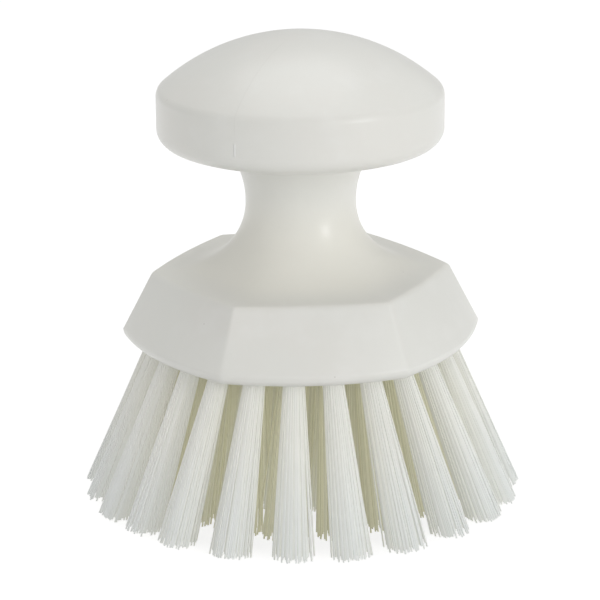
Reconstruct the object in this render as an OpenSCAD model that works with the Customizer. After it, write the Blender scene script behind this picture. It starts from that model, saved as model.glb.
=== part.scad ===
// Round vegetable scrubbing brush. A one-piece moulded block has a palm knob on top, a waist
// for the fingers and a six-sided head. Flared tufts of filament sit in slanted blind holes in
// the head's underside, each held by a flat anchor wire that bites into the hole's wall.
// The brush stands on its filament tips at z = 0, with its axis on Z and a head side facing -Y.

/* [Head] */
// Height of the head's flat underside above the filament tips
head_under_z = 48.3; // [46:0.1:52]
// Height of the head from its underside to its top edge
head_h = 21.8; // [20:0.1:26]
// Distance from the axis to a head corner at the widest level
head_bottom_corner_r = 55.3; // [54:0.1:58]
// Distance from the axis to the middle of a head side at the widest level
head_bottom_side_r = 52.5; // [52:0.1:54]
// Distance from the axis to a head corner at the top edge
head_top_corner_r = 45.8; // [44:0.1:48]
// Distance from the axis to the middle of a head side at the top edge
head_top_side_r = 41; // [40:0.1:43.5]
// Rounding of the bottom edge
head_bottom_round = 3.5; // [1:0.1:3.8]
// Rounding of the top edge
head_top_round = 1.2; // [0.5:0.1:1.5]
// Width of the narrow shelf between the top edge and the cove
head_shelf = 2.5; // [1.6:0.1:4]

/* [Neck] */
// Radius of the neck at the waist
neck_r = 16.9; // [15:0.1:19]
// Height of the waist above the filament tips
waist_z = 91.5; // [88:0.1:94]
// Radius of the hollow curve above the waist
neck_flare_r = 28; // [26:0.5:32]
// Angle through which that curve turns before it tightens under the knob
neck_flare_angle = 32; // [25:1:34]

/* [Knob] */
// Radius of the knob
knob_r = 43.7; // [42:0.1:46]
// Height of the knob's underside above the filament tips
knob_under_z = 109.1; // [108:0.1:112]
// Width of the rounding under the rim
rim_round_w = 6.8; // [4:0.1:9]
// Height of the rounding under the rim
rim_round_h = 5.6; // [4:0.1:8]
// Height of the dome's top above the filament tips
knob_top_z = 143.4; // [141:0.1:146]
// Radius of the dome's curve
dome_r = 64.5; // [60:0.5:70]
// Rounding of the shoulder between the dome and the rim
shoulder_r = 4; // [2:0.5:6]

/* [Tuft rings] */
// Distance in from the middle of a head side, at the widest level, to the outer ring of tufts
ring_margin = 8.5; // [8.3:0.1:9.5]
// Rings of tufts round the centre tuft
ring_count = 4; // [4:1:4]
// Tufts in the first of those rings: each ring further out has this many more
ring_tufts = 6; // [5:1:6]
// How much further out the outer tufts are at their tips than at the underside
outer_splay = 19.1; // [17:0.1:21]
// The same for the middle ring
middle_splay = 13; // [12:0.1:14]
// The same for the inner ring
inner_splay = 4; // [3.5:0.1:4.5]
// The same for the core ring, which is the one round the centre tuft
core_splay = 2; // [1.8:0.1:2.2]
// Bearing of the first outer tuft
outer_bearing = 7.5; // [0:0.5:15]
// Bearing of the first middle tuft
middle_bearing = 0; // [0:0.5:20]
// Bearing of the first inner tuft
inner_bearing = 15; // [0:0.5:30]
// Bearing of the first tuft of the core ring
core_bearing = 0; // [0:0.5:60]

/* [Tufts] */
// Diameter of a tuft hole
hole_d = 6.2; // [5.8:0.1:6.4]
// Depth of a tuft hole along its own axis
hole_depth = 12; // [11:0.1:13]
// Clearance between a tuft's bound root and its hole, all round and at the hole's end
root_gap = 0.05; // [0.02:0.01:0.1]
// Strands round the middle strand of a tuft
strand_ring = 7; // [5:1:7]
// Distance from a tuft's middle to its outer strands at the root
strand_root_spread = 1.95; // [1.9:0.05:2]
// Distance from a tuft's middle to its outer strands at the tip
strand_tip_spread = 5; // [4.5:0.05:5]
// Distance from a strand's middle to its corners at the root
strand_root_w = 0.75; // [0.5:0.05:0.75]
// Distance from a strand's middle to its corners at the tip
strand_tip_w = 1.05; // [0.6:0.05:1.1]
// How far the strands run up into the bound root
strand_bite = 2; // [1:0.1:3]
// Turn of the strand pattern from one tuft to the next
strand_turn = 37; // [0:1:51]

/* [Anchor wire] */
// Thickness of the flat anchor wire
wire_t = 0.45; // [0.3:0.05:0.6]
// Height of the anchor wire along the hole
wire_h = 2; // [1.5:0.1:2.4]
// How far each end of the anchor wire bites into the hole's wall
wire_bite = 0.4; // [0.2:0.05:0.5]
// Clearance between the anchor wire and the filament folded round it
wire_gap = 0.05; // [0.02:0.01:0.1]
// Thickness of the fold of filament above the anchor wire
fold_h = 2.5; // [2:0.1:3]

/* [Hidden] */
SIDES = 6;
SIDE_ANGLE = 360 / SIDES;
// Points round the head, a whole number to each side
POINTS_TO_A_SIDE = 12;
HEAD_POINTS = POINTS_TO_A_SIDE * SIDES;
// Steps of each curve on the way up the outline
ROUND_STEPS = 4;
SIDE_STEPS = 3;
COVE_STEPS = 12;
FLARE_STEPS = 8;
FILLET_STEPS = 6;
RIM_STEPS = 7;
SHOULDER_STEPS = 4;
DOME_STEPS = 14;
KNOB_POINTS = 96;
HOLE_POINTS = 48;
// Where the head's last ring meets the round neck it lies this much inside it
SEAM_STEP = 0.05;
STRAND_SIDES = 4;

head_top_z = head_under_z + head_h;
root_d = hole_d - 2 * root_gap;
root_depth = hole_depth - root_gap;
wire_mid = root_depth - fold_h - wire_h / 2;
wire_len = hole_d + 2 * wire_bite;
// How far a hole's cutter runs out of the underside
hole_runout = 2;

// Distance from one ring of tufts to the next at the underside
ring_pitch = (head_bottom_side_r - ring_margin) / ring_count;

// The ring of that number, counted from the centre, as its count of tufts, its distance from
// the axis at the underside and at the tips, and its first tuft's bearing
function tuft_ring(number, splay, bearing) =
    [ring_tufts * number, ring_pitch * number, ring_pitch * number + splay, bearing];

OUTER = tuft_ring(ring_count, outer_splay, outer_bearing);
MIDDLE = tuft_ring(ring_count - 1, middle_splay, middle_bearing);
INNER = tuft_ring(ring_count - 2, inner_splay, inner_bearing);
CORE = tuft_ring(ring_count - 3, core_splay, core_bearing);
CENTRE = [1, 0, 0, 0];

function tuft_name(ring_name, i) = str(ring_name, "_tuft_", i < 10 ? "0" : "", i);

// 1 at a head corner and 0 in the middle of a side, as on a straight-sided hexagon between them
function cornerness(a) =
    let (half = SIDE_ANGLE / 2, straight = cos(half) / cos(a % SIDE_ANGLE - half))
    (straight - cos(half)) / (1 - cos(half));

// A level of the head is its distance from the axis mid-side and at a corner, and its height.
// The bottom rounding's levels go by the angle turned, from the underside to the widest level
function bottom_round_level(a) =
    let (inset = head_bottom_round * (1 - sin(a)))
    [
        head_bottom_side_r - inset,
        head_bottom_corner_r - inset,
        head_under_z + head_bottom_round * (1 - cos(a))
    ];

// A level on the sloping sides, from 0 at the widest level to 1 at the top edge
function side_level(t) =
    let (low_z = head_under_z + head_bottom_round)
    [
        head_bottom_side_r + (head_top_side_r - head_bottom_side_r) * t,
        head_bottom_corner_r + (head_top_corner_r - head_bottom_corner_r) * t,
        low_z + (head_top_z - low_z) * t
    ];

// The share of the side's height at which the top rounding starts
top_round_start = 1 - head_top_round / (head_h - head_bottom_round);

// A quadratic curve from the side, past the top edge, to the shelf
function top_round_level(t) =
    let (
        start = side_level(top_round_start),
        edge = side_level(1),
        end = [edge[0] - head_top_round, edge[1] - head_top_round, edge[2]]
    )
    (1 - t) * (1 - t) * start + 2 * t * (1 - t) * edge + t * t * end;

// A level on the cove, which starts flat at the shelf and ends upright and round at the waist
function cove_level(a) =
    let (reach = 1 - sin(a), end_r = neck_r - SEAM_STEP)
    [
        end_r + (head_top_side_r - head_shelf - end_r) * reach,
        end_r + (head_top_corner_r - head_shelf - end_r) * reach,
        head_top_z + (waist_z - head_top_z) * (1 - cos(a))
    ];

function head_ring_points(level) = [
    for (j = [0:HEAD_POINTS - 1])
        let (
            a = 360 * j / HEAD_POINTS,
            r = level[0] + (level[1] - level[0]) * cornerness(a)
        )
        [r * cos(a), r * sin(a), level[2]]
];

module head() {
    levels = concat(
        [for (i = [0:ROUND_STEPS]) bottom_round_level(90 * i / ROUND_STEPS)],
        [for (i = [1:SIDE_STEPS]) side_level(top_round_start * i / SIDE_STEPS)],
        [for (i = [1:ROUND_STEPS]) top_round_level(i / ROUND_STEPS)],
        [for (i = [0:COVE_STEPS]) cove_level(90 * i / COVE_STEPS)]
    );
    n = HEAD_POINTS;
    top = n * (len(levels) - 1);
    polyhedron(
        points = [for (level = levels) each head_ring_points(level)],
        faces = concat(
            [[for (j = [0:n - 1]) j]],
            [
                for (i = [0:len(levels) - 2], j = [0:n - 1])
                    let (a = n * i + j, b = n * i + (j + 1) % n)
                    each [[a, a + n, b + n], [a, b + n, b]]
            ],
            [[for (j = [n - 1:-1:0]) top + j]]
        )
    );
}

// The knob's half outline, from the waist on the axis round to the dome's top
function knob_outline() =
    let (
        flare_r = neck_r + neck_flare_r * (1 - cos(neck_flare_angle)),
        flare_z = waist_z + neck_flare_r * sin(neck_flare_angle),
        fillet_r = (knob_under_z - flare_z) / (1 - sin(neck_flare_angle)),
        dome_z = knob_top_z - dome_r,
        shoulder_x = knob_r - shoulder_r,
        shoulder_z = dome_z + sqrt(pow(dome_r - shoulder_r, 2) - pow(shoulder_x, 2)),
        shoulder_a = atan2(shoulder_z - dome_z, shoulder_x)
    )
    concat(
        [[0, waist_z]],
        [
            for (i = [0:FLARE_STEPS])
                let (a = neck_flare_angle * i / FLARE_STEPS)
                [neck_r + neck_flare_r * (1 - cos(a)), waist_z + neck_flare_r * sin(a)]
        ],
        [
            for (i = [1:FILLET_STEPS])
                let (a = neck_flare_angle + (90 - neck_flare_angle) * i / FILLET_STEPS)
                [
                    flare_r + fillet_r * (cos(neck_flare_angle) - cos(a)),
                    flare_z + fillet_r * (sin(a) - sin(neck_flare_angle))
                ]
        ],
        [
            for (i = [0:RIM_STEPS])
                let (a = 90 * i / RIM_STEPS)
                [knob_r - rim_round_w * (1 - sin(a)), knob_under_z + rim_round_h * (1 - cos(a))]
        ],
        [
            for (i = [0:SHOULDER_STEPS])
                let (a = shoulder_a * i / SHOULDER_STEPS)
                [shoulder_x + shoulder_r * cos(a), shoulder_z + shoulder_r * sin(a)]
        ],
        [
            for (i = [1:DOME_STEPS])
                let (a = shoulder_a + (90 - shoulder_a) * i / DOME_STEPS)
                [i == DOME_STEPS ? 0 : dome_r * cos(a), dome_z + dome_r * sin(a)]
        ]
    );

module neck_and_knob() {
    rotate_extrude($fn = KNOB_POINTS) polygon(knob_outline());
}

// A tuft's outward lean from upright
function lean(ring) = atan((ring[2] - ring[1]) / head_under_z);

// Sets a piece at one tuft of a ring, with X pointing outward and the underside at its z = 0
module at_tuft(ring, i) {
    rotate(ring[3] + 360 * (i - 1) / ring[0])
        translate([ring[1], 0, head_under_z])
            children();
}

module along_hole(ring) {
    rotate([0, -lean(ring), 0]) children();
}

module tuft_hole(ring) {
    along_hole(ring)
        translate([0, 0, -hole_runout])
            cylinder(d = hole_d, h = hole_runout + hole_depth, $fn = HOLE_POINTS);
}

// The filaments' bound root, flush with the underside, with a slot for the anchor wire
module tuft_root(ring) {
    slot = [wire_t + 2 * wire_gap, hole_d, wire_h + 2 * wire_gap];
    difference() {
        along_hole(ring)
            translate([0, 0, -hole_runout])
                cylinder(d = root_d, h = hole_runout + root_depth, $fn = HOLE_POINTS);
        translate([-hole_d, -hole_d, -2 * hole_d]) cube([2 * hole_d, 2 * hole_d, 2 * hole_d]);
        along_hole(ring)
            translate([0, 0, wire_mid])
                cube(slot, center = true);
    }
}

// One strand, from inside the bound root down to a flat tip at the resting height
module strand(ring, offset) {
    root = [
        strand_root_spread * offset[0] - strand_bite * tan(lean(ring)),
        strand_root_spread * offset[1],
        strand_bite
    ];
    tip = [
        strand_tip_spread * offset[0] + ring[2] - ring[1],
        strand_tip_spread * offset[1],
        -head_under_z
    ];
    n = STRAND_SIDES;
    polyhedron(
        points = concat(
            [for (k = [0:n - 1]) root + strand_root_w * [cos(360 * k / n), sin(360 * k / n), 0]],
            [for (k = [0:n - 1]) tip + strand_tip_w * [cos(360 * k / n), sin(360 * k / n), 0]]
        ),
        faces = concat(
            [for (k = [0:n - 1]) each [[n + k, k, (k + 1) % n], [n + k, (k + 1) % n, n + (k + 1) % n]]],
            [for (k = [1:n - 2]) each [[0, k + 1, k], [n, n + k, n + k + 1]]]
        )
    );
}

module tuft(ring, i) {
    color("#e8eae6")
        at_tuft(ring, i) {
            tuft_root(ring);
            strand(ring, [0, 0]);
            for (k = [1:strand_ring]) {
                a = strand_turn * i + 360 * k / strand_ring;
                strand(ring, [cos(a), sin(a)]);
            }
        }
}

// The anchor wires of one ring, each across its own hole
module wires(ring) {
    color("silver")
        for (i = [1:ring[0]])
            at_tuft(ring, i)
                along_hole(ring)
                    translate([0, 0, wire_mid])
                        cube([wire_t, wire_len, wire_h], center = true);
}

module brush_block() {
    color("#dcdcd5")
        difference() {
            union() {
                head();
                neck_and_knob();
            }
            for (ring = [OUTER, MIDDLE, INNER, CORE, CENTRE])
                for (i = [1:ring[0]])
                    at_tuft(ring, i) tuft_hole(ring);
        }
}

module core_tufts() {
    tuft(CENTRE, 1);
    for (i = [1:CORE[0]]) tuft(CORE, i);
}

module core_wires() {
    wires(CENTRE);
    wires(CORE);
}

brush_block();
for (i = [1:OUTER[0]]) tuft(OUTER, i);
for (i = [1:MIDDLE[0]]) tuft(MIDDLE, i);
for (i = [1:INNER[0]]) tuft(INNER, i);
core_tufts();
wires(OUTER);  // outer_wires
wires(MIDDLE);  // middle_wires
wires(INNER);  // inner_wires
core_wires();
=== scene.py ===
import math
import random

import bmesh
import bpy
from mathutils import Matrix, Vector


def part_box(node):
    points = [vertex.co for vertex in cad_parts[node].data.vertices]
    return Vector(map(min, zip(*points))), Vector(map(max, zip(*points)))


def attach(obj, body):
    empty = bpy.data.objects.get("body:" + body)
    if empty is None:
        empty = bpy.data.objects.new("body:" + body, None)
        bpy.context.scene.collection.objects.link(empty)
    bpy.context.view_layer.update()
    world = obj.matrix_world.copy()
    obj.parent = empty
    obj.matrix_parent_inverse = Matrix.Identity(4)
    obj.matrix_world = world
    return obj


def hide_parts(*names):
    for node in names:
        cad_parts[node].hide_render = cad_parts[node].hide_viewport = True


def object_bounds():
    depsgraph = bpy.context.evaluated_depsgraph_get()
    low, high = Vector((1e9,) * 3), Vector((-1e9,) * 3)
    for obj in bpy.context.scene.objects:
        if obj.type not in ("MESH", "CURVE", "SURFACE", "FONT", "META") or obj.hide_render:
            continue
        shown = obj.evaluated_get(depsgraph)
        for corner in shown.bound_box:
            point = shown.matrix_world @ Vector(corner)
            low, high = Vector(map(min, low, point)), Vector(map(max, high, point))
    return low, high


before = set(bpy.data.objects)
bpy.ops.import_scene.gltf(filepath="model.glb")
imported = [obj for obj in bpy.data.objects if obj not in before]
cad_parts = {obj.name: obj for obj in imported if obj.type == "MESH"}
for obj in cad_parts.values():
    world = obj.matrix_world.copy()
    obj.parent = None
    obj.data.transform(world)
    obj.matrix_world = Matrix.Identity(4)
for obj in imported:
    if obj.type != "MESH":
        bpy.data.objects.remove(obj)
cadBox = [list(map(float, corner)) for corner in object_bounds()]
print("frame loaded with", len(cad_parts), "nodes")


# Shader maths

class Wire:
    # a socket that can be written into an expression
    def __init__(self, tree, socket):
        self.tree = tree
        self.socket = socket

    def maths(self, operation, other=None, swapped=False):
        made = self.tree.nodes.new("ShaderNodeMath")
        made.operation = operation
        terms = [self] if other is None else ([other, self] if swapped else [self, other])
        for slot, term in zip(made.inputs, terms):
            plug(self.tree, slot, term)
        return Wire(self.tree, made.outputs[0])

    def __add__(self, other):
        return self.maths("ADD", other)

    def __radd__(self, other):
        return self.maths("ADD", other, True)

    def __sub__(self, other):
        return self.maths("SUBTRACT", other)

    def __rsub__(self, other):
        return self.maths("SUBTRACT", other, True)

    def __mul__(self, other):
        return self.maths("MULTIPLY", other)

    def __rmul__(self, other):
        return self.maths("MULTIPLY", other, True)

    def absolute(self):
        return self.maths("ABSOLUTE")

    def clamp(self):
        return self.maths("MAXIMUM", 0.0).maths("MINIMUM", 1.0)


def plug(tree, slot, value):
    if isinstance(value, Wire):
        tree.links.new(value.socket, slot)
    else:
        slot.default_value = value


class Finish:
    # one material and the nodes that it is made of
    def __init__(self, name):
        self.material = bpy.data.materials.new(name)
        self.material.use_nodes = True
        self.tree = self.material.node_tree
        self.tree.nodes.clear()

    def node(self, kind, settings=None, values=None, output=0):
        made = self.tree.nodes.new(kind)
        for key, value in (settings or {}).items():
            setattr(made, key, value)
        for key, value in (values or {}).items():
            plug(self.tree, made.inputs[key], value)
        return Wire(self.tree, made.outputs[output])

    def place(self):
        # the point on the piece, whole and as three wires
        point = self.node("ShaderNodeTexCoord", output="Object")
        split = self.node("ShaderNodeSeparateXYZ", values={0: point}).socket.node
        return point, [Wire(self.tree, socket) for socket in split.outputs]

    def attribute(self, name):
        return self.node("ShaderNodeAttribute", {"attribute_name": name}, output="Fac")

    def noise(self, point, scale, detail, roughness):
        values = {"Vector": point, "Scale": scale, "Detail": detail, "Roughness": roughness}
        return self.node("ShaderNodeTexNoise", values=values)

    def distance(self, point, place):
        return self.node("ShaderNodeVectorMath", {"operation": "DISTANCE"}, {0: point, 1: place}, "Value")

    def ease(self, value, low, high):
        # 0 under low and 1 over high, smooth between them
        values = {"Value": value, "From Min": low, "From Max": high}
        return self.node("ShaderNodeMapRange", {"interpolation_type": "SMOOTHSTEP"}, values)

    def fade(self, value, low, high):
        # 1 under low and 0 over high
        return 1 - self.ease(value, low, high)

    def band(self, value, foot, full, ebb, gone):
        # 1 between full and ebb, 0 under foot and over gone
        return self.ease(value, foot, full) * self.fade(value, ebb, gone)

    def blend(self, share, first, second):
        # a Mix node's colours are sockets 6 and 7, and its colour output is 2
        values = {"Factor": share, 6: first, 7: second}
        return self.node("ShaderNodeMix", {"data_type": "RGBA"}, values, 2)

    def close(self, shader):
        end = self.tree.nodes.new("ShaderNodeOutputMaterial")
        plug(self.tree, end.inputs["Surface"], shader)
        return self.material


# Meshes and objects

def between(a, b, share):
    return a + (b - a) * share


def meshFrom(name, bm):
    mesh = bpy.data.meshes.new(name)
    bm.to_mesh(mesh)
    bm.free()
    return mesh


def addObject(name, data):
    made = bpy.data.objects.new(name, data)
    bpy.context.scene.collection.objects.link(made)
    return made


def makePiece(name, bm, material, normals=None):
    mesh = meshFrom(name, bm)
    mesh.shade_smooth()
    if normals:
        mesh.normals_split_custom_set_from_vertices(normals)
    mesh.materials.append(material)
    piece = addObject(name, mesh)
    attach(piece, "root")
    return piece


# Moulded block

underside, domeTop = (corner[2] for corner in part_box("brush_block"))

blockSizes = {
    "bottomCorner": 0.0553,     # from the axis to a head corner at the widest level
    "bottomSide": 0.0525,       # from the axis to the middle of a head side there
    "topCorner": 0.0458,        # the same two at the head's upper edge
    "topSide": 0.041,
    "headHeight": 0.0218,
    "bottomRound": 0.0035,
    "topRound": 0.0013,
    "shelf": 0.0025,            # from the head's upper edge in to the foot of the cove
    "neck": 0.0169,             # radius of the waist
    "waistHeight": 0.0915,
    "flare": 0.028,             # radius of the curve that opens from the waist up
    "flareAngle": 32.0,         # degrees that this curve turns through
    "knob": 0.0437,             # radius of the rim
    "knobUnder": 0.1091,        # height of the knob's flat underside
    "rimRoundWidth": 0.0068,
    "rimRoundHeight": 0.0056,
    "dome": 0.0645,             # radius of the dome's curve
    "shoulder": 0.004,          # radius of the round between rim and dome
    "headSides": 6,
    "cornerBlunt": 0.45,        # degrees over which a side's crease is blunted
    "coveBlunt": 20.0,          # more of the same by the time the crease reaches the waist
    "weld": 1e-6,               # points nearer to one another than this become one
    "sideShares": (0.03, 0.2, 0.4, 0.6, 0.8, 0.97, 1.0),    # levels up a head side
    "steps": {                  # straight steps to each stretch of the outline, and round the axis
        "bottomRound": 10, "topRound": 7, "cove": 30, "flare": 14, "fillet": 10, "knobUnder": 4,
        "rimRound": 14, "rim": 3, "shoulder": 10, "dome": 30, "turn": 480,
    },
}


def quarterTurn(steps):
    # angles from 0 to 90 degrees, in radians
    return [math.radians(90 * i / steps) for i in range(steps + 1)]


def headOutline():
    # levels as (radius mid-side, radius at a corner, height), from the underside to the waist
    s = blockSizes
    steps = s["steps"]
    wide = underside + s["bottomRound"]
    top = underside + s["headHeight"]
    levels = []
    for a in quarterTurn(steps["bottomRound"]):
        inset = s["bottomRound"] * (1 - math.sin(a))
        rise = s["bottomRound"] * (1 - math.cos(a))
        levels.append((s["bottomSide"] - inset, s["bottomCorner"] - inset, underside + rise))

    def side(share):
        return Vector((
            between(s["bottomSide"], s["topSide"], share),
            between(s["bottomCorner"], s["topCorner"], share),
            between(wide, top, share),
        ))

    start = 1 - s["topRound"] / (top - wide)
    levels += [side(start * share) for share in s["sideShares"]]
    edge = side(1)
    inner = edge - Vector((s["topRound"], s["topRound"], 0))
    for i in range(1, steps["topRound"] + 1):
        t = i / steps["topRound"]
        levels.append((1 - t) ** 2 * side(start) + 2 * t * (1 - t) * edge + t * t * inner)
    for a in quarterTurn(steps["cove"]):
        reach = 1 - math.sin(a)
        radii = [between(s["neck"], s[foot] - s["shelf"], reach) for foot in ("topSide", "topCorner")]
        levels.append((*radii, top + (s["waistHeight"] - top) * (1 - math.cos(a))))
    return levels


def flareOutline():
    # points as (radius, height), from the waist out under the knob to the rim's foot
    s = blockSizes
    steps = s["steps"]
    turn = math.radians(s["flareAngle"])
    points = []
    for i in range(1, steps["flare"] + 1):
        a = turn * i / steps["flare"]
        points.append((
            s["neck"] + s["flare"] * (1 - math.cos(a)),
            s["waistHeight"] + s["flare"] * math.sin(a),
        ))
    x, z = points[-1]
    fillet = (s["knobUnder"] - z) / (1 - math.sin(turn))
    for i in range(1, steps["fillet"] + 1):
        a = turn + (math.pi / 2 - turn) * i / steps["fillet"]
        points.append((
            x + fillet * (math.cos(turn) - math.cos(a)),
            z + fillet * (math.sin(a) - math.sin(turn)),
        ))
    inner = points[-1][0]
    outer = s["knob"] - s["rimRoundWidth"]
    flat = steps["knobUnder"]
    points += [(between(inner, outer, i / flat), s["knobUnder"]) for i in range(1, flat)]
    return points


def knobOutline():
    # the same up the rim, round its shoulder and over the dome
    s = blockSizes
    steps = s["steps"]
    outer = s["knob"] - s["rimRoundWidth"]
    points = []
    for a in quarterTurn(steps["rimRound"]):
        points.append((
            outer + s["rimRoundWidth"] * math.sin(a),
            s["knobUnder"] + s["rimRoundHeight"] * (1 - math.cos(a)),
        ))
    low = points[-1][1]
    domeCentre = domeTop - s["dome"]
    x = s["knob"] - s["shoulder"]
    z = domeCentre + math.sqrt((s["dome"] - s["shoulder"]) ** 2 - x * x)
    lean = math.atan2(z - domeCentre, x)
    points += [(s["knob"], between(low, z, i / steps["rim"])) for i in range(1, steps["rim"])]
    for i in range(steps["shoulder"] + 1):
        a = lean * i / steps["shoulder"]
        points.append((x + s["shoulder"] * math.cos(a), z + s["shoulder"] * math.sin(a)))
    for i in range(1, steps["dome"]):
        a = between(lean, math.pi / 2, i / steps["dome"])
        points.append((s["dome"] * math.cos(a), domeCentre + s["dome"] * math.sin(a)))
    points.append((0.0, domeTop))
    return points


def cornerness(angle, blunt):
    # 1 at a head corner and 0 mid-side
    half = 180 / blockSizes["headSides"]
    off = abs((angle + half) % (2 * half) - half)
    off = min(math.hypot(off, blunt), half)
    flat = math.cos(math.radians(half))
    straight = flat / math.cos(math.radians(half - off))
    return max(0.0, (straight - flat) / (1 - flat))


def pullCorners(bm, cornerReach):
    # the head, turned as wide as it is mid-side, is pulled out to its corners
    s = blockSizes
    top = underside + s["headHeight"]
    for vert in bm.verts:
        radius = math.hypot(vert.co.x, vert.co.y)
        if vert[cornerReach] > 0 and radius > 0:
            angle = math.degrees(math.atan2(vert.co.y, vert.co.x))
            risen = math.sqrt(max(0.0, (vert.co.z - top) / (s["waistHeight"] - top)))
            blunt = s["cornerBlunt"] + s["coveBlunt"] * risen
            grown = 1 + vert[cornerReach] * cornerness(angle, blunt) / radius
            vert.co.x *= grown
            vert.co.y *= grown


def turnedBlock():
    s = blockSizes
    levels = headOutline() + [(r, r, z) for r, z in flareOutline() + knobOutline()]
    bm = bmesh.new()
    cornerReach = bm.verts.layers.float.new("cornerReach")
    chain = [bm.verts.new((side, 0, z)) for side, corner, z in levels]
    for vert, (side, corner, z) in zip(chain, levels):
        vert[cornerReach] = corner - side
    edges = [bm.edges.new(pair) for pair in zip(chain, chain[1:])]
    bmesh.ops.spin(
        bm, geom=chain + edges, cent=(0, 0, 0), axis=(0, 0, 1), dvec=(0, 0, 0),
        angle=2 * math.pi, steps=s["steps"]["turn"], use_merge=True, use_duplicate=False,
    )
    bmesh.ops.remove_doubles(bm, verts=bm.verts, dist=s["weld"])
    pullCorners(bm, cornerReach)
    rim = [edge for edge in bm.edges if edge.is_boundary]
    bmesh.ops.contextual_create(bm, geom=rim)
    bmesh.ops.recalc_face_normals(bm, faces=bm.faces)
    return bm


plasticLook = {
    "colour": (0.797, 0.797, 0.754, 1),
    "clouds": (28.0, 3.0, 0.5),         # a noise's scale, detail and roughness, here and below
    "cloudLevels": (0.42, 0.68),
    "cloudShare": 0.55,
    "cloudColour": (0.80, 0.785, 0.74, 1),
    # the smears vary the gloss, and they also lighten the colour a little, which is a painted sheen
    "smearsAndSheen": (60.0, 4.0, 0.6),
    "paintedSheenLevels": (0.45, 0.75),
    "paintedSheenShare": 0.45,
    "paintedSheenColour": (0.845, 0.845, 0.81, 1),
    # painted light: round the waist the colour is lighter and warmer, for light that soaks through the
    # plastic and lifts the shaded cove and neck, most of all between the middle two heights
    "waistLevels": (0.0685, 0.0725, 0.08, 0.1),
    "paintedWaistLight": (0.862, 0.85, 0.782, 1),
    "speckPlaces": [(-0.0315, -0.0341, 0.0634), (0.0302, -0.0119, 0.071), (0.0056, -0.0523, 0.0518),
                    (-0.0406, -0.0142, 0.1268)],
    "speckRadii": (0.000128, 0.00032),
    "speckShare": 0.45,
    "speckColour": (0.48, 0.46, 0.42, 1),
    "partingBearing": 239.8,    # degrees, where the mould's parting line runs down the knob
    "partingReach": (0.004, 0.016),     # how far out from the axis the marks set in
    "lineLevels": (0.1192, 0.1232),     # the line runs on the dome, above these heights
    "lineWidths": (0.00008, 0.0003),
    "lineShare": 0.06,
    "lineDepth": 0.00002,
    "nickLevels": (0.1145, 0.1155, 0.1182, 0.1192),     # the nick is on the rim, between these
    "nickWidths": (0.00005, 0.0005),
    # the nick is a real ridge made by the bump; its lighter colour is a painted glint along it
    "nickGlintShare": 0.8,
    "nickDepth": 0.0002,
    "nickGlintColour": (0.93, 0.93, 0.91, 1),
    "grain": (1500.0, 2.0, 0.5),
    "grainDepth": 0.000012,
    "ripple": (90.0, 2.0, 0.5),
    "rippleDepth": 0.00012,
    "roughness": 0.275,         # where the smears are at their least
    "roughnessSpread": 0.06,
    "refraction": 1.46,
}


def mouldMarks(finish, x, y, z):
    # how strong the parting line and the nick are at each point
    s = plasticLook
    turn = math.radians(s["partingBearing"])
    across = (x * math.sin(turn) - y * math.cos(turn)).absolute()
    ahead = finish.ease(x * math.cos(turn) + y * math.sin(turn), *s["partingReach"])
    line = finish.fade(across, *s["lineWidths"]) * ahead * finish.ease(z, *s["lineLevels"])
    nick = finish.fade(across, *s["nickWidths"]) * ahead * finish.band(z, *s["nickLevels"])
    return line, nick


def satinPlastic():
    s = plasticLook
    finish = Finish("satinPlastic")
    point, (x, y, z) = finish.place()
    clouds, smearsAndSheen, grain, ripple = (
        finish.noise(point, *s[name]) for name in ("clouds", "smearsAndSheen", "grain", "ripple")
    )
    line, nick = mouldMarks(finish, x, y, z)
    cloudy = finish.ease(clouds, *s["cloudLevels"]) * s["cloudShare"]
    # painted sheen: a lighter colour where the smears lie
    paintedSheen = finish.ease(smearsAndSheen, *s["paintedSheenLevels"]) * s["paintedSheenShare"]
    colour = finish.blend(cloudy, s["colour"], s["cloudColour"])
    colour = finish.blend(paintedSheen, colour, s["paintedSheenColour"])
    # painted light: a lighter, warmer colour round the waist and cove
    colour = finish.blend(finish.band(z, *s["waistLevels"]), colour, s["paintedWaistLight"])
    for place in s["speckPlaces"]:
        speck = finish.fade(finish.distance(point, place), *s["speckRadii"])
        colour = finish.blend(speck * s["speckShare"], colour, s["speckColour"])
    colour = finish.blend(line * s["lineShare"], colour, s["speckColour"])
    # painted glint along the nick's ridge
    colour = finish.blend(nick * s["nickGlintShare"], colour, s["nickGlintColour"])
    relief = grain * s["grainDepth"] + ripple * s["rippleDepth"]
    relief = relief + line * s["lineDepth"] + nick * s["nickDepth"]
    bump = finish.node("ShaderNodeBump", values={"Height": relief, "Distance": 1.0, "Strength": 1.0})
    shader = finish.node("ShaderNodeBsdfPrincipled", values={
        "Base Color": colour,
        "Roughness": s["roughness"] + smearsAndSheen * s["roughnessSpread"],
        "IOR": s["refraction"],
        "Normal": bump,
    })
    return finish.close(shader)


# Tuft rings, from the centre tuft out. Root and tip are how far from the axis a tuft leaves the head and
# meets the floor, and the last pair is painted shade at those two ends: how dark and olive its filaments are
# coloured among the other tufts.

ringSizes = {
    "centre": dict(tufts=1, root=0.0, tip=0.0, bearing=0.0, fan=1.0, paintedShade=(1.0, 0.35)),
    "core": dict(tufts=6, root=0.011, tip=0.013, bearing=0.0, fan=1.0, paintedShade=(1.0, 0.35)),
    "inner": dict(tufts=12, root=0.022, tip=0.026, bearing=15.0, fan=1.05, paintedShade=(1.0, 0.4)),
    "middle": dict(tufts=18, root=0.033, tip=0.046, bearing=0.0, fan=1.2, paintedShade=(0.82, 0.72)),
    "outer": dict(tufts=24, root=0.044, tip=0.0631, bearing=7.5, fan=1.0, paintedShade=(0.0, 0.0)),
}

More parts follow.
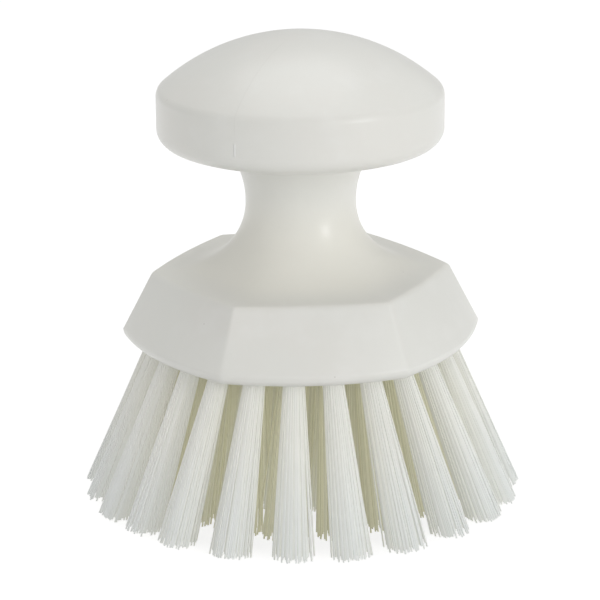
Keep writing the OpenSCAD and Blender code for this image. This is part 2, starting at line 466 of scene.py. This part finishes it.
holeSizes = {
    "diameter": 0.0062,
    "depth": 0.012,
    "runout": 0.002,            # how far the cutter passes out of the underside
    "sides": 32,
    "sharpAngle": 45.0,         # a hole's mouth and floor stay sharp, and softer edges are smooth
}


def tuftBearings(ring):
    # where each tuft of a ring stands, in radians
    s = ringSizes[ring]
    return [math.radians(s["bearing"] + 360 * i / s["tufts"]) for i in range(s["tufts"])]


def holeCutter():
    s = holeSizes
    bm = bmesh.new()
    length = s["depth"] + s["runout"]
    for ring, sizes in ringSizes.items():
        lean = math.atan2(sizes["tip"] - sizes["root"], underside)
        for bearing in tuftBearings(ring):
            place = (
                Matrix.Rotation(bearing, 4, "Z")
                @ Matrix.Translation((sizes["root"], 0, underside))
                @ Matrix.Rotation(-lean, 4, "Y")
                @ Matrix.Translation((0, 0, length / 2 - s["runout"]))
            )
            bmesh.ops.create_cone(
                bm, cap_ends=True, segments=s["sides"], radius1=s["diameter"] / 2,
                radius2=s["diameter"] / 2, depth=length, matrix=place,
            )
    return addObject("holeCutter", meshFrom("holeCutter", bm))


def drill(piece, cutter):
    change = piece.modifiers.new("holes", "BOOLEAN")
    change.operation = "DIFFERENCE"
    change.solver = "EXACT"
    change.object = cutter
    seen = bpy.context.evaluated_depsgraph_get()
    drilled = bpy.data.meshes.new_from_object(piece.evaluated_get(seen))
    piece.modifiers.remove(change)
    old = piece.data
    piece.data = drilled
    bpy.data.meshes.remove(old)
    bpy.data.objects.remove(cutter)
    drilled.set_sharp_from_angle(angle=math.radians(holeSizes["sharpAngle"]))


block = makePiece("mouldedBlock", turnedBlock(), satinPlastic())
drill(block, holeCutter())
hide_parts("brush_block")
print("moulded block:", len(block.data.polygons), "faces")


# Filament tufts

filamentSizes = {
    "count": 105,               # filaments to a tuft
    "radius": 0.00028,
    "sides": 5,
    "stretches": 4,             # straight stretches that a bent filament is made of
    "sunk": 0.003,              # how far up inside its hole a filament starts
    "rootSpread": 0.0028,
    "tipSpread": (0.0054, 0.0062),      # away from the axis, and along the ring
    "fanRange": (0.98, 1.04),   # how far one tuft's tips spread more or less than another's
    "goldenTurn": 2.39996,      # radians from one filament round to the next, which packs them evenly
    "jitter": 0.025,
    "bend": 0.00006,
    "raggedness": 0.00056,      # how far off the floor a filament is likely to end
    "strays": 0.07,             # share of a tuft's outermost filaments that stray
    "strayFrom": 0.75,          # how far out in its tuft a filament stands before it may stray
    "strayReach": (1.05, 1.22),
    "strayBend": 0.00016,
    "tuftSway": 0.0009,
    "innerPaintedShade": 0.2,          # painted shade: how much darker and more olive a tuft's inner filaments are coloured
    "tuftLight": 0.8,           # how much a filament is lit as its whole tuft is
    "firstLean": 15,            # outer tufts from this one on lean along the ring by so much
    "leans": [-0.002, -0.0032, -0.0012, 0.0006, 0.0009, 0.0021, 0.0035, 0.0033, 0.0025],
    "seed": 41,
}

filamentLook = {
    "rootColour": (0.91, 0.91, 0.87, 1),
    "tipColour": (0.865, 0.885, 0.875, 1),
    "tipLevels": (0.25, 0.95),          # shares of the length over which the one turns into the other
    # painted shade: the dark olive of filaments that stand in the shade of other tufts
    "paintedShadeColour": (0.655, 0.635, 0.425, 1),
    "paleColour": (0.93, 0.93, 0.91, 1),
    "paleShare": 0.16,          # at most, from filament to filament
    "roughness": 0.45,
    "roughnessSpread": 0.1,
    "refraction": 1.42,
    "lightThrough": (0.96, 0.96, 0.91, 1),
}


def filamentFinish():
    s = filamentLook
    finish = Finish("drawnFilament")
    along, tone, paintedShade = (finish.attribute(name) for name in ("along", "tone", "paintedShade"))
    colour = finish.blend(finish.ease(along, *s["tipLevels"]), s["rootColour"], s["tipColour"])
    # painted shade, deepest among the inner tufts and on a tuft's inner side
    colour = finish.blend(paintedShade.clamp(), colour, s["paintedShadeColour"])
    colour = finish.blend(tone * s["paleShare"], colour, s["paleColour"])
    shader = finish.node("ShaderNodeBsdfPrincipled", values={
        "Base Color": colour,
        "Roughness": s["roughness"] + tone * s["roughnessSpread"],
        "IOR": s["refraction"],
        "Diffuse Roughness": 1.0,
    })
    # lamplight passes on through a filament, a little yellower
    passing = finish.node("ShaderNodeBsdfTransparent", values={"Color": s["lightThrough"]})
    inShade = finish.node("ShaderNodeLightPath", output="Is Shadow Ray")
    return finish.close(finish.node("ShaderNodeMixShader", values={0: inShade, 1: shader, 2: passing}))


def strandTemplate():
    # a filament of unit length and radius that hangs straight down, open at its sunk end
    s = filamentSizes
    bm = bmesh.new()
    ring = bmesh.ops.create_circle(bm, segments=s["sides"], radius=1.0)
    edges = list({edge for vert in ring["verts"] for edge in vert.link_edges})
    for i in range(s["stretches"]):
        grown = bmesh.ops.extrude_edge_only(bm, edges=edges)["geom"]
        verts = [item for item in grown if isinstance(item, bmesh.types.BMVert)]
        edges = [item for item in grown if isinstance(item, bmesh.types.BMEdge)]
        bmesh.ops.translate(bm, verts=verts, vec=(0, 0, -1 / s["stretches"]))
    bmesh.ops.contextual_create(bm, geom=edges)
    bmesh.ops.recalc_face_normals(bm, faces=bm.faces)
    return meshFrom("strandTemplate", bm)


filament = filamentFinish()
template = strandTemplate()
chance = random.Random(filamentSizes["seed"])
tipLimit = min(abs(corner[i]) for corner in cadBox for i in (0, 1)) - filamentSizes["radius"]


def tuftStrands(ring, lean):
    # each filament's offset inside its tuft, sunk end, tip, bend and tone, for a tuft on the X axis
    s = filamentSizes
    sizes = ringSizes[ring]
    slope = (sizes["tip"] - sizes["root"]) / underside
    sway = Vector((chance.uniform(-1, 1), chance.uniform(-1, 1))) * s["tuftSway"]
    if lean:
        sway.y = lean
    fan = sizes["fan"] * chance.uniform(*s["fanRange"])
    phase = chance.uniform(0, 2 * math.pi)
    for i in range(s["count"]):
        share = math.sqrt((i + 0.5) / s["count"])
        angle = phase + i * s["goldenTurn"]
        offset = Vector((math.cos(angle), math.sin(angle))) * share
        stray = share > s["strayFrom"] and chance.random() < s["strays"]
        jitter = Vector((chance.gauss(0, s["jitter"]), chance.gauss(0, s["jitter"])))
        reach = fan * (chance.uniform(*s["strayReach"]) if stray else 1)
        spread = Vector([(offset[k] + jitter[k]) * s["tipSpread"][k] for k in (0, 1)]) * reach
        bow = s["strayBend"] if stray else s["bend"]
        bend = Vector((chance.gauss(0, bow), chance.gauss(0, bow)))
        root = Vector((sizes["root"] - slope * s["sunk"], 0, underside + s["sunk"]))
        root.xy += offset * s["rootSpread"]
        tip = Vector((sizes["tip"], 0, abs(chance.gauss(0, s["raggedness"]))))
        tip.xy += spread + sway
        tip.xy *= min(1.0, tipLimit / tip.xy.length)
        yield offset, root, tip, bend, chance.random()


def growTuft(bm, normals, ring, bearing, lean):
    s = filamentSizes
    along, tone, paintedShade = (bm.verts.layers.float[name] for name in ("along", "tone", "paintedShade"))
    turn = Matrix.Rotation(bearing, 3, "Z")
    for offset, root, tip, bend, shade in tuftStrands(ring, lean):
        outward = offset.to_3d()
        axis = (root - tip).normalized()
        # painted shade on the side of a tuft that faces in
        innerShade = s["innerPaintedShade"] * (1 - offset.x)
        before = len(bm.verts)
        bm.from_mesh(template)
        bm.verts.ensure_lookup_table()
        for vert in bm.verts[before:]:
            t = -vert.co.z
            # a strand's outer side takes its light nearly as its whole tuft does
            facing = Vector((vert.co.x, vert.co.y, 0))
            agree = 0.5 + 0.5 * facing.dot(outward)
            facing = between(facing, outward, s["tuftLight"] * agree)
            normals.append(turn @ (facing - axis * facing.dot(axis)).normalized())
            centre = root.lerp(tip, t)
            centre.xy += bend * math.sin(math.pi * t)
            centre.xy += vert.co.xy * s["radius"]
            vert.co = turn @ centre
            vert[along] = t
            vert[tone] = shade
            # painted shade, less of it towards the tips
            vert[paintedShade] = between(*ringSizes[ring]["paintedShade"], t * t) + innerShade


def tuftLean(ring, number):
    s = filamentSizes
    later = number - s["firstLean"]
    return s["leans"][later] if ring == "outer" and 0 <= later < len(s["leans"]) else 0.0


def tuftPiece(name, members, node):
    bm = bmesh.new()
    for layer in ("along", "tone", "paintedShade"):
        bm.verts.layers.float.new(layer)
    normals = []
    for ring, bearing, lean in members:
        growTuft(bm, normals, ring, bearing, lean)
    piece = makePiece(name, bm, filament, normals)
    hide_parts(node)
    # light soaks through filaments, so only the outer tufts throw shadows, and none holds back bounced light
    piece.visible_shadow = members[0][0] == "outer"
    piece.visible_diffuse = False


for ring in ("outer", "middle", "inner"):
    for number, bearing in enumerate(tuftBearings(ring), 1):
        lean = tuftLean(ring, number)
        tuftPiece(f"{ring}Tuft{number:02d}", [(ring, bearing, lean)], f"{ring}_tuft_{number:02d}")
coreMembers = [(ring, bearing, 0.0) for ring in ("centre", "core") for bearing in tuftBearings(ring)]
tuftPiece("coreTufts", coreMembers, "core_tufts")
bpy.data.meshes.remove(template)
print("tufts made")


# Anchor wires, which keep their own solids

wireLook = {
    "brushed": (900.0, 3.0, 0.5),
    "darkColour": (0.60, 0.60, 0.58, 1),
    "lightColour": (0.74, 0.73, 0.70, 1),
    "roughness": 0.25,
    "roughnessSpread": 0.2,
}


def wireFinish():
    s = wireLook
    finish = Finish("flatWire")
    point, _ = finish.place()
    brushed = finish.noise(point, *s["brushed"])
    shader = finish.node("ShaderNodeBsdfPrincipled", values={
        "Base Color": finish.blend(brushed, s["darkColour"], s["lightColour"]),
        "Metallic": 1.0,
        "Roughness": s["roughness"] + brushed * s["roughnessSpread"],
    })
    return finish.close(shader)


flatWire = wireFinish()
for name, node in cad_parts.items():
    if name.endswith("_wires"):
        node.data.materials.clear()
        node.data.materials.append(flatWire)
print("anchor wires finished")


# Studio

studioSizes = {
    "floorSide": 12.0,
    "floorColour": (0.80, 0.80, 0.80, 1),
    "floorGlow": 0.45,
    "skyLow": 0.54,             # brightness at the horizon and below, and straight up
    "skyHigh": 0.58,
    "lampAim": (0, 0, 0.08),
}

lampSizes = {
    "key": {"place": (0.824, -0.836, 0.33), "side": 0.2, "power": 2.3},
    "keyFill": {"place": (0.824, -0.836, 0.36), "side": 1.0, "power": 1.9},
    "front": {"place": (-0.08, -1.15, 0.3), "side": 0.9, "power": 1.0},
    "left": {"place": (-1.08, -0.39, 0.28), "side": 0.9, "power": 0.95},
    "top": {"place": (0.0, 0.35, 1.25), "side": 0.9, "power": 3.6},
}


def makeFloor():
    s = studioSizes
    bm = bmesh.new()
    bmesh.ops.create_grid(bm, x_segments=1, y_segments=1, size=s["floorSide"] / 2)
    mesh = meshFrom("floor", bm)
    finish = Finish("paleFloor")
    matt = finish.node("ShaderNodeBsdfDiffuse", values={"Color": s["floorColour"]})
    # the floor's glow shows in the view and in reflections, and adds no soft light to the brush
    rays = finish.node("ShaderNodeLightPath").socket.node.outputs
    direct, glossy, through = (
        Wire(finish.tree, rays[f"Is {kind} Ray"]) for kind in ("Camera", "Glossy", "Transmission")
    )
    seen = (direct + glossy + through).clamp()
    glow = finish.node("ShaderNodeEmission", values={"Strength": seen * s["floorGlow"]})
    mesh.materials.append(finish.close(finish.node("ShaderNodeAddShader", values={0: matt, 1: glow})))
    addObject("floor", mesh)


def makeSky():
    world = bpy.data.worlds.new("studio")
    world.use_nodes = True
    tree = world.node_tree
    aim = tree.nodes.new("ShaderNodeTexCoord").outputs["Generated"]
    split = tree.nodes.new("ShaderNodeSeparateXYZ")
    tree.links.new(aim, split.inputs[0])
    low, high = studioSizes["skyLow"], studioSizes["skyHigh"]
    height = Wire(tree, split.outputs[2]).clamp()
    back = tree.nodes["Background"]
    back.inputs["Color"].default_value = (1, 1, 1, 1)
    plug(tree, back.inputs["Strength"], height * (high - low) + low)
    bpy.context.scene.world = world


def makeLamp(name, place, side, power):
    data = bpy.data.lights.new(name, "AREA")
    data.size = side
    data.energy = power
    lamp = addObject(name, data)
    lamp.location = place
    aim = Vector(studioSizes["lampAim"]) - Vector(place)
    lamp.rotation_euler = aim.to_track_quat("-Z", "Y").to_euler()


makeFloor()
makeSky()
for name, lamp in lampSizes.items():
    makeLamp(name, **lamp)


# Camera

cameraSizes = {
    "distance": 0.80007,
    "target": (0.0, 0.0, 0.075),
    "azimuth": -4.42,           # degrees, as are the next two
    "elevation": 16.142,
    "roll": 0.344,
    "sensorWidth": 36.0,
    "focalPixels": 2601.3,
    "centrePixel": (301.07, 251.36),
    "picturePixels": 600,
}


def makeCamera():
    s = cameraSizes
    data = bpy.data.cameras.new("camera")
    data.sensor_width = s["sensorWidth"]
    data.lens = s["focalPixels"] / s["picturePixels"] * data.sensor_width
    half = s["picturePixels"] / 2
    data.shift_x = -(s["centrePixel"][0] - half) / s["picturePixels"]
    data.shift_y = (s["centrePixel"][1] - half) / s["picturePixels"]
    turn, rise, roll = (math.radians(s[key]) for key in ("azimuth", "elevation", "roll"))
    back = Vector((math.sin(turn) * math.cos(rise), -math.cos(turn) * math.cos(rise), math.sin(rise)))
    right = Vector((math.cos(turn), math.sin(turn), 0))
    up = back.cross(right)
    axes = (
        right * math.cos(roll) - up * math.sin(roll),
        up * math.cos(roll) + right * math.sin(roll),
        back,
    )
    place = Matrix(axes).transposed().to_4x4()
    place.translation = Vector(s["target"]) + back * s["distance"]
    camera = addObject("camera", data)
    camera.matrix_world = place
    bpy.context.scene.camera = camera


makeCamera()
bpy.context.scene.view_settings.view_transform = "Standard"
print("studio and camera set")
